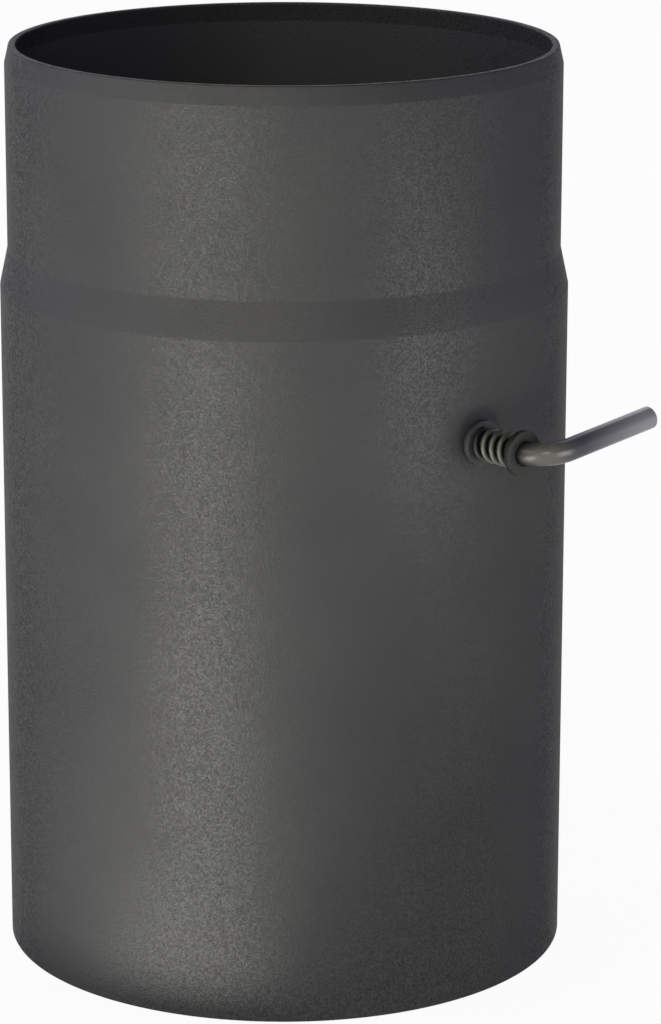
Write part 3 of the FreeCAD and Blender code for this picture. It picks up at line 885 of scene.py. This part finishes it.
# A hexagonal prism on the start plane, its far face bevelled to a circle
def hexagonNodes(tree, given):
    corner = addNode(
        tree, "ShaderNodeMath", {"operation": "DIVIDE"},
        {0: given["Across Flats"], 1: math.sqrt(3)},
    )
    tall = addNode(
        tree, "ShaderNodeMath", {"operation": "MULTIPLY"}, {0: given["Height"], 1: 2.0}
    )
    prism = addNode(
        tree, "GeometryNodeMeshCylinder", None,
        {"Vertices": 6, "Radius": corner.outputs[0], "Depth": tall.outputs[0]},
    )
    lift = addNode(tree, "ShaderNodeCombineXYZ", None, {"Z": given["Height"]})
    standing = addNode(
        tree, "GeometryNodeTransform", None,
        {"Geometry": prism.outputs["Mesh"], "Translation": lift.outputs["Vector"]},
    )
    # The cone starts one height below the prism and ends at its height
    radius = addNode(
        tree, "ShaderNodeMath", {"operation": "MULTIPLY"}, {0: given["Across Flats"], 1: 0.5}
    )
    slope = addNode(tree, "ShaderNodeMath", {"operation": "TANGENT"}, {0: given["Bevel"]})
    spread = addNode(
        tree, "ShaderNodeMath", {"operation": "DIVIDE"},
        {0: tall.outputs[0], 1: slope.outputs[0]},
    )
    foot = addNode(
        tree, "ShaderNodeMath", {"operation": "ADD"}, {0: radius.outputs[0], 1: spread.outputs[0]}
    )
    cone = addNode(
        tree, "GeometryNodeMeshCone", None,
        {"Vertices": fastenerSet["coneSides"], "Radius Top": radius.outputs[0],
         "Radius Bottom": foot.outputs[0], "Depth": tall.outputs[0]},
    )
    lower = addNode(
        tree, "ShaderNodeMath", {"operation": "MULTIPLY"}, {0: given["Height"], 1: -1.0}
    )
    drop = addNode(tree, "ShaderNodeCombineXYZ", None, {"Z": lower.outputs[0]})
    placed = addNode(
        tree, "GeometryNodeTransform", None,
        {"Geometry": cone.outputs["Mesh"], "Translation": drop.outputs["Vector"]},
    )
    return addNode(
        tree, "GeometryNodeMeshBoolean", {"operation": "INTERSECT", "solver": "EXACT"},
        {"Mesh 2": [standing.outputs["Geometry"], placed.outputs["Geometry"]]},
    ).outputs["Mesh"]


def screwTree():
    tree, given = startTree("plateScrews", {
        "Across Flats": "NodeSocketFloat",
        "Height": "NodeSocketFloat",
        "Bevel": "NodeSocketFloat",
        "Shank Radius": "NodeSocketFloat",
        "Shank Length": "NodeSocketFloat",
        "Pitch": "NodeSocketFloat",
        "Depth": "NodeSocketFloat",
        "Steel": "NodeSocketMaterial",
    })
    head = hexagonNodes(tree, given)
    shank = addNode(
        tree, "GeometryNodeMeshCylinder", None,
        {"Vertices": fastenerSet["shankSides"], "Side Segments": fastenerSet["shankRings"],
         "Radius": given["Shank Radius"], "Depth": given["Shank Length"]},
    )
    # Thread: the radius falls and rises once in each pitch, a turn further round
    position = addNode(tree, "GeometryNodeInputPosition")
    parts = addNode(tree, "ShaderNodeSeparateXYZ", None, {0: position.outputs["Position"]})
    angle = addNode(
        tree, "ShaderNodeMath", {"operation": "ARCTAN2"},
        {0: parts.outputs["Y"], 1: parts.outputs["X"]},
    )
    turned = addNode(
        tree, "ShaderNodeMath", {"operation": "DIVIDE"}, {0: angle.outputs[0], 1: -2 * math.pi}
    )
    pitches = addNode(
        tree, "ShaderNodeMath", {"operation": "DIVIDE"},
        {0: parts.outputs["Z"], 1: given["Pitch"]},
    )
    wave = addNode(
        tree, "ShaderNodeMath", {"operation": "ADD"}, {0: turned.outputs[0], 1: pitches.outputs[0]}
    )
    groove = addNode(
        tree, "ShaderNodeMath", {"operation": "PINGPONG"}, {0: wave.outputs[0], 1: 0.5}
    )
    depth = addNode(
        tree, "ShaderNodeMath", {"operation": "MULTIPLY"},
        {0: groove.outputs[0], 1: given["Depth"]},
    )
    inward = addNode(
        tree, "ShaderNodeMath", {"operation": "MULTIPLY"}, {0: depth.outputs[0], 1: -2.0}
    )
    level = addNode(
        tree, "ShaderNodeCombineXYZ", None, {"X": parts.outputs["X"], "Y": parts.outputs["Y"]}
    )
    outward = addNode(
        tree, "ShaderNodeVectorMath", {"operation": "NORMALIZE"}, {0: level.outputs["Vector"]}
    )
    shift = addNode(
        tree, "ShaderNodeVectorMath", {"operation": "SCALE"},
        {0: outward.outputs["Vector"], "Scale": inward.outputs[0]},
    )
    thread = addNode(
        tree, "GeometryNodeSetPosition", None,
        {"Geometry": shank.outputs["Mesh"], "Offset": shift.outputs["Vector"]},
    )
    halfLength = addNode(
        tree, "ShaderNodeMath", {"operation": "MULTIPLY"}, {0: given["Shank Length"], 1: -0.5}
    )
    down = addNode(tree, "ShaderNodeCombineXYZ", None, {"Z": halfLength.outputs[0]})
    hung = addNode(
        tree, "GeometryNodeTransform", None,
        {"Geometry": thread.outputs["Geometry"], "Translation": down.outputs["Vector"]},
    )
    screw = addNode(tree, "GeometryNodeJoinGeometry", None, {0: [head, hung.outputs["Geometry"]]})
    screws = addNode(
        tree, "GeometryNodeInstanceOnPoints", None,
        {"Points": given["Geometry"], "Instance": screw.outputs["Geometry"]},
    )
    endTree(tree, screws.outputs["Instances"], given["Steel"])
    return tree


def nutTree():
    tree, given = startTree("plateNuts", {
        "Across Flats": "NodeSocketFloat",
        "Height": "NodeSocketFloat",
        "Bevel": "NodeSocketFloat",
        "Bore": "NodeSocketFloat",
        "Steel": "NodeSocketMaterial",
    })
    drill = addNode(
        tree, "GeometryNodeMeshCylinder", None,
        {"Vertices": fastenerSet["drillSides"], "Radius": given["Bore"],
         "Depth": fastenerSet["drillLength"]},
    )
    drilled = addNode(
        tree, "GeometryNodeMeshBoolean", {"operation": "DIFFERENCE", "solver": "EXACT"},
        {"Mesh 1": hexagonNodes(tree, given), "Mesh 2": drill.outputs["Mesh"]},
    )
    nuts = addNode(
        tree, "GeometryNodeInstanceOnPoints", None,
        {"Points": given["Geometry"], "Instance": drilled.outputs["Mesh"],
         "Rotation": (math.pi, 0, 0)},
    )
    endTree(tree, nuts.outputs["Instances"], given["Steel"])
    return tree


def fastenerPlaces(name, values, height):
    mesh = bpy.data.meshes.new(name)
    mesh.from_pydata([(side * values["spacing"] / 2, 0, height) for side in (-1, 1)], [], [])
    return mesh


screws = growMesh(
    "plateScrews", fastenerPlaces("screwPlaces", fastenerSet, fastenerSet["headSeat"]),
    screwTree(), {
        "Across Flats": fastenerSet["acrossFlats"],
        "Height": fastenerSet["headHeight"],
        "Bevel": fastenerSet["bevelAngle"],
        "Shank Radius": fastenerSet["shankRadius"],
        "Shank Length": fastenerSet["shankLength"],
        "Pitch": fastenerSet["threadPitch"],
        "Depth": fastenerSet["threadDepth"],
        "Steel": steels["dullZincSteel"],
    }, damperPlace, sharpAngles["fasteners"],
)
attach(screws, "damper")
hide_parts("near_plate_screw", "far_plate_screw")
nuts = growMesh(
    "plateNuts", fastenerPlaces("nutPlaces", fastenerSet, fastenerSet["nutSeat"]),
    nutTree(), {
        "Across Flats": fastenerSet["acrossFlats"],
        "Height": fastenerSet["nutHeight"],
        "Bevel": fastenerSet["bevelAngle"],
        "Bore": fastenerSet["boreRadius"],
        "Steel": steels["dullZincSteel"],
    }, damperPlace, sharpAngles["fasteners"],
)
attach(nuts, "damper")
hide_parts("near_plate_nut", "far_plate_nut")


plate = smoothCopy("damper_plate", "throttlePlate", paint, sharpAngles["plate"])
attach(plate, "damper")
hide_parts("damper_plate")

pin = smoothCopy("split_pin", "splitPin", steels["dullZincSteel"], sharpAngles["pin"])
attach(pin, "damper")
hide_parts("split_pin")
print("pieces dressed")


# Floor, background and light

studioSet = {
    "floorColour": "#e6e6e6",
    "floorSize": 60.0,
    "floorLevel": -0.0002,
    "floorWhite": 0.95,  # how much of the floor's own shading the white covers
    "whiteRise": 0.16,  # reflections find white up to this rise
    "overheadRise": 0.36,  # and the dim overhead from here on
    "overhead": 0.1,
    "fill": 0.12,
    "sky": "#d8daff",
}


# One for the rays that should find a white background: seen straight, mirrored or
# through glass
def seenWhite(tree):
    path = addNode(tree, "ShaderNodeLightPath")
    first = addNode(
        tree, "ShaderNodeMath", {"operation": "MAXIMUM"},
        {0: path.outputs["Is Camera Ray"], 1: path.outputs["Is Glossy Ray"]},
    )
    both = addNode(
        tree, "ShaderNodeMath", {"operation": "MAXIMUM"},
        {0: first.outputs["Value"], 1: path.outputs["Is Transmission Ray"]},
    )
    return both.outputs["Value"]


def makeFloor(values):
    material = bpy.data.materials.new("paleFloor")
    material.use_nodes = True
    tree = material.node_tree
    tree.nodes.remove(tree.nodes["Principled BSDF"])
    matt = addNode(tree, "ShaderNodeBsdfDiffuse", None, {"Color": colour(values["floorColour"])})
    white = addNode(tree, "ShaderNodeEmission", None, {"Color": (1, 1, 1, 1), "Strength": 1.0})
    share = addNode(
        tree, "ShaderNodeMath", {"operation": "MULTIPLY"},
        {0: seenWhite(tree), 1: values["floorWhite"]},
    )
    mixed = addNode(
        tree, "ShaderNodeMixShader", None,
        {0: share.outputs["Value"], 1: matt.outputs["BSDF"], 2: white.outputs["Emission"]},
    )
    tree.links.new(mixed.outputs["Shader"], tree.nodes["Material Output"].inputs["Surface"])
    half = values["floorSize"] / 2
    mesh = bpy.data.meshes.new("floor")
    corners = [(-half, -half), (half, -half), (half, half), (-half, half)]
    mesh.from_pydata([(x, y, values["floorLevel"]) for x, y in corners], [], [(0, 1, 2, 3)])
    mesh.materials.append(material)
    floor = bpy.data.objects.new("floor", mesh)
    bpy.context.scene.collection.objects.link(floor)


# White to the camera, and for reflections white low down and dim and cool overhead;
# the light that falls on the part from all round is only a faint fill
def makeWorld(values):
    world = bpy.data.worlds.new("studioWorld")
    bpy.context.scene.world = world
    world.use_nodes = True
    tree = world.node_tree
    background = tree.nodes["Background"]
    direction = addNode(tree, "ShaderNodeTexCoord").outputs["Generated"]
    rise = addNode(tree, "ShaderNodeSeparateXYZ", None, {0: direction})
    fade = addNode(
        tree, "ShaderNodeMapRange", {"interpolation_type": "SMOOTHSTEP"},
        {"Value": rise.outputs["Z"], "From Min": values["whiteRise"],
         "From Max": values["overheadRise"], "To Min": 1.0, "To Max": values["overhead"]},
    )
    camera = addNode(tree, "ShaderNodeLightPath").outputs["Is Camera Ray"]
    white = addNode(
        tree, "ShaderNodeMath", {"operation": "MAXIMUM"}, {0: camera, 1: fade.outputs["Result"]}
    )
    strength = addNode(
        tree, "ShaderNodeMix", {"data_type": "FLOAT"},
        {"Factor": seenWhite(tree), 2: values["fill"], 3: white.outputs["Value"]},
    )
    tint = addNode(
        tree, "ShaderNodeMix", {"data_type": "RGBA"},
        {"Factor": white.outputs["Value"], 6: colour(values["sky"]), 7: (1, 1, 1, 1)},
    )
    tree.links.new(tint.outputs[2], background.inputs["Color"])
    tree.links.new(strength.outputs[0], background.inputs["Strength"])


# Soft boxes that face the part: turn to the camera's right, rise above level,
# distance, height that they aim at, width, height, power and colour. The front box
# lights the pipe's left, the glint box the rod's bend, the low one the pipe round the
# spindle; the others keep the sides and the back from going black
boxSet = {
    "frontBox": (-60, 32, 1.6, 0.2, 1.0, 1.0, 8.0, "#fffcf0"),
    "glintBox": (-1, 25, 1.2, 0.154, 0.20, 0.20, 2.3, "#fffaf2"),
    "lowRightBox": (45, 1, 0.20, 0.150, 0.06, 0.06, 0.065, "#fffef8"),
    "leftBox": (-100, 10, 1.5, 0.2, 1.2, 1.2, 3.9, "#bcc4ff"),
    "rightBox": (90, 10, 1.5, 0.2, 1.2, 1.2, 1.7, "#b8b4ff"),
    "backBox": (180, 35, 1.8, 0.2, 1.2, 1.2, 10.0, "#f6f6ff"),
    "backLeftBox": (-145, 25, 1.8, 0.2, 1.2, 1.2, 7.0, "#f6f6ff"),
}

stripColour = "#fffdf4"
stripHeight = 0.002  # above the floor

# Light strips that lie on the floor round the front: turn, near end, far end, width,
# power. A wall that stands upright mirrors them, and the swage and the lip don't
stripSet = {
    "nearStrip": (-26, 0.09, 0.25, 0.08, 0.15),
    "middleStrip": (-30, 0.25, 0.60, 0.12, 1.7),
    "farStrip": (-38, 0.60, 1.20, 0.30, 4.6),
    "rightStrip": (75, 0.30, 0.80, 0.30, 0.1),
    "leftStrip": (-65, 0.09, 0.20, 0.10, 0.023),
}


def addLamp(name, width, height, power, tint, place):
    data = bpy.data.lights.new(name, "AREA")
    data.shape = "RECTANGLE"
    data.size, data.size_y = width, height
    data.energy = power
    data.color = colour(tint)[:3]
    lamp = bpy.data.objects.new(name, data)
    bpy.context.scene.collection.objects.link(lamp)
    lamp.matrix_world = place
    lamp.visible_camera = False


def makeLamps(boxes, strips, azimuth):
    for name, (turn, rise, distance, aim, width, height, power, tint) in boxes.items():
        angle, lift = math.radians(azimuth + turn), math.radians(rise)
        level = math.cos(lift)
        out = Vector((math.sin(angle) * level, -math.cos(angle) * level, math.sin(lift)))
        facing = out.to_track_quat("Z", "Y").to_matrix().to_4x4()
        place = Matrix.Translation(Vector((0, 0, aim)) + out * distance) @ facing
        addLamp(name, width, height, power, tint, place)
    for name, (turn, near, far, width, power) in strips.items():
        angle = math.radians(azimuth + turn)
        out = Vector((math.sin(angle), -math.cos(angle), 0))
        side = Vector((math.cos(angle), math.sin(angle), 0))
        lying = Matrix((side, -out, Vector((0, 0, -1)))).transposed().to_4x4()
        middle = out * (near + far) / 2 + Vector((0, 0, stripHeight))
        addLamp(name, width, far - near, power, stripColour, Matrix.Translation(middle) @ lying)


makeFloor(studioSet)
makeWorld(studioSet)
makeLamps(boxSet, stripSet, cameraSet["azimuth"])
bpy.context.scene.view_settings.view_transform = "Standard"
print("studio lit")
